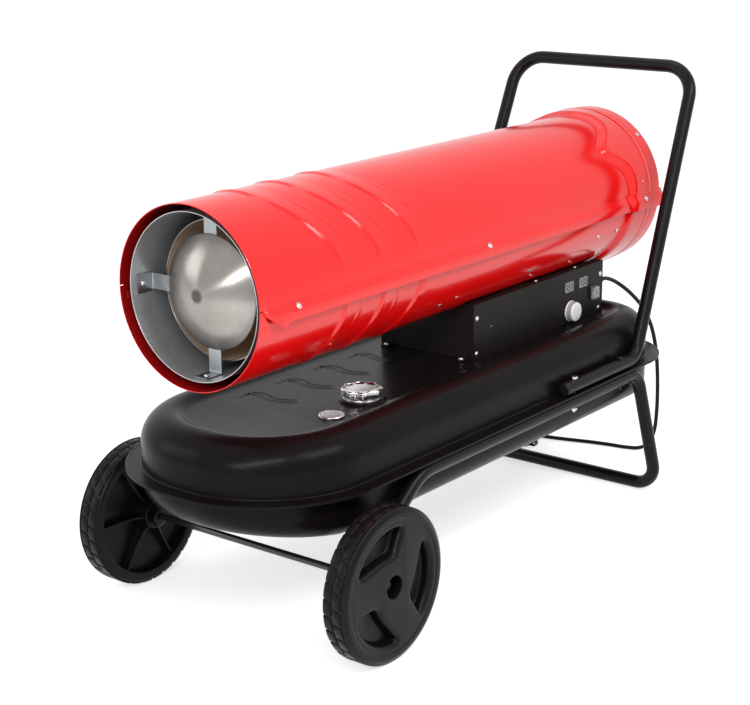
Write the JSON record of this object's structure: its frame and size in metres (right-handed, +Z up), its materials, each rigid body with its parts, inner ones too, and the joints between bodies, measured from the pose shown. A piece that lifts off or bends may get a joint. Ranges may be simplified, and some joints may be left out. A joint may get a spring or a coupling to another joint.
{
  "type": "forced air heater",
  "caption": "Wheeled forced air heater: a two-shell casing tube with burner and fan over a two-pan fuel tank, on a bent tube frame with push handle.",
  "frame": {"origin": "on the floor, under the centre of the heater's overall box without its power cord", "axes": "-Y along the tube towards the hot outlet, +X the control panel's side, +Z up"},
  "size_m": [0.5774, 1.2911, 0.8259],
  "materials": {
    "casing_red": "gloss",
    "tank_black": "satin",
    "galvanised": "satin, slightly spangled",
    "stainless": "brushed",
    "zinc_steel": "bright zinc",
    "cap_metal": "polished",
    "aluminium": "cast",
    "motor_iron": "satin",
    "brass": "machined",
    "black_plastic": "matt",
    "white_plastic": "matt",
    "display": "gloss",
    "clear": "clear",
    "board_green": "satin",
    "black_rubber": "matt",
    "wheel_black": "matt"
  },
  "bodies": {
    "heater": {"upper_shell": "casing_red", "lower_shell": "casing_red", "liner": "galvanised", "combustion_chamber": "stainless", "flame_disc": "stainless", "disc_bracket_top": "galvanised", "disc_bracket_right": "galvanised", "disc_bracket_bottom": "galvanised", "disc_bracket_left": "galvanised", "burner_head": "stainless", "fuel_nozzle": "brass", "igniter": "white_plastic", "flame_sensor": "black_plastic", "motor": "motor_iron", "motor_bracket": "galvanised", "pump_body": "aluminium", "pump_cover": "aluminium", "rear_guard": "tank_black", "tank_top": "tank_black", "tank_bottom": "tank_black", "drain_plug": "zinc_steel", "filler_neck": "zinc_steel", "gauge_body": "zinc_steel", "gauge_lens": "clear", "fuel_pickup": "brass", "fuel_line": "black_plastic", "air_hose": "black_rubber", "control_box": "tank_black", "side_panel": "tank_black", "thermostat": "black_plastic", "rocker_housing": "black_plastic", "display_room": "display", "display_set": "display", "circuit_board": "board_green", "transformer": "black_plastic", "cable_gland": "black_plastic", "handle": "tank_black", "frame": "tank_black", "axle": "zinc_steel", "wheel_clip_left": "zinc_steel", "wheel_clip_right": "zinc_steel", "handle_bolt_left_1": "zinc_steel", "handle_bolt_left_2": "zinc_steel", "handle_bolt_right_1": "zinc_steel", "handle_bolt_right_2": "zinc_steel", "cord_lead": "black_rubber", "cord_coil": "black_rubber", "cord_tie": "black_plastic", "plug": "black_plastic"},
    "wheel_left": {"wheel_left": "wheel_black"},
    "wheel_right": {"wheel_right": "wheel_black"},
    "fan_set": {"fan": "aluminium", "motor_shaft": "zinc_steel", "pump_rotor": "black_plastic"},
    "cap_ring": {"cap_gasket": "black_rubber"},
    "cap": {"fuel_cap": "cap_metal"},
    "knob": {"thermostat_knob": "white_plastic"},
    "switch_rocker": {"rocker": "black_plastic"},
    "float": {"float_arm": "black_plastic"},
    "pointer": {"gauge_pointer": "casing_red"}
  },
  "joints": [
    {"name": "wheel_left_spin", "type": "hinge", "parent": "heater", "child": "wheel_left", "pos_m": [-0.2669, -0.453, 0.127], "axis": [1, 0, 0], "continuous": true},
    {"name": "wheel_right_spin", "type": "hinge", "parent": "heater", "child": "wheel_right", "pos_m": [0.2669, -0.453, 0.127], "axis": [1, 0, 0], "continuous": true},
    {"name": "fan_spin", "type": "hinge", "parent": "heater", "child": "fan_set", "pos_m": [0, 0.135, 0.572], "axis": [0, 1, 0], "continuous": true},
    {"name": "cap_lift", "type": "slide", "parent": "heater", "child": "cap_ring", "axis": [0, 0, 1], "range_m": [0, 0.045]},
    {"name": "cap_turn", "type": "hinge", "parent": "cap_ring", "child": "cap", "pos_m": [0.084, -0.272, 0.36], "axis": [0, 0, 1], "range_deg": [0, 90]},
    {"name": "thermostat_turn", "type": "hinge", "parent": "heater", "child": "knob", "pos_m": [0.105, 0.346, 0.371], "axis": [1, 0, 0], "range_deg": [-135, 135]},
    {"name": "rocker_tilt", "type": "hinge", "parent": "heater", "child": "switch_rocker", "pos_m": [0.105, 0.428, 0.391], "axis": [0, 1, 0], "range_deg": [-20, 0]},
    {"name": "float_swing", "type": "hinge", "parent": "heater", "child": "float", "pos_m": [0.099, -0.37, 0.301], "axis": [-1, 0, 0], "range_deg": [0, 50]},
    {"name": "pointer_turn", "type": "hinge", "parent": "heater", "child": "pointer", "pos_m": [0.099, -0.37, 0.346], "axis": [0, 0, 1], "range_deg": [0, 90]}
  ],
  "couplings": [
    {"joint": "pointer_turn", "follows": "float_swing", "ratio": 1.8}
  ]
}
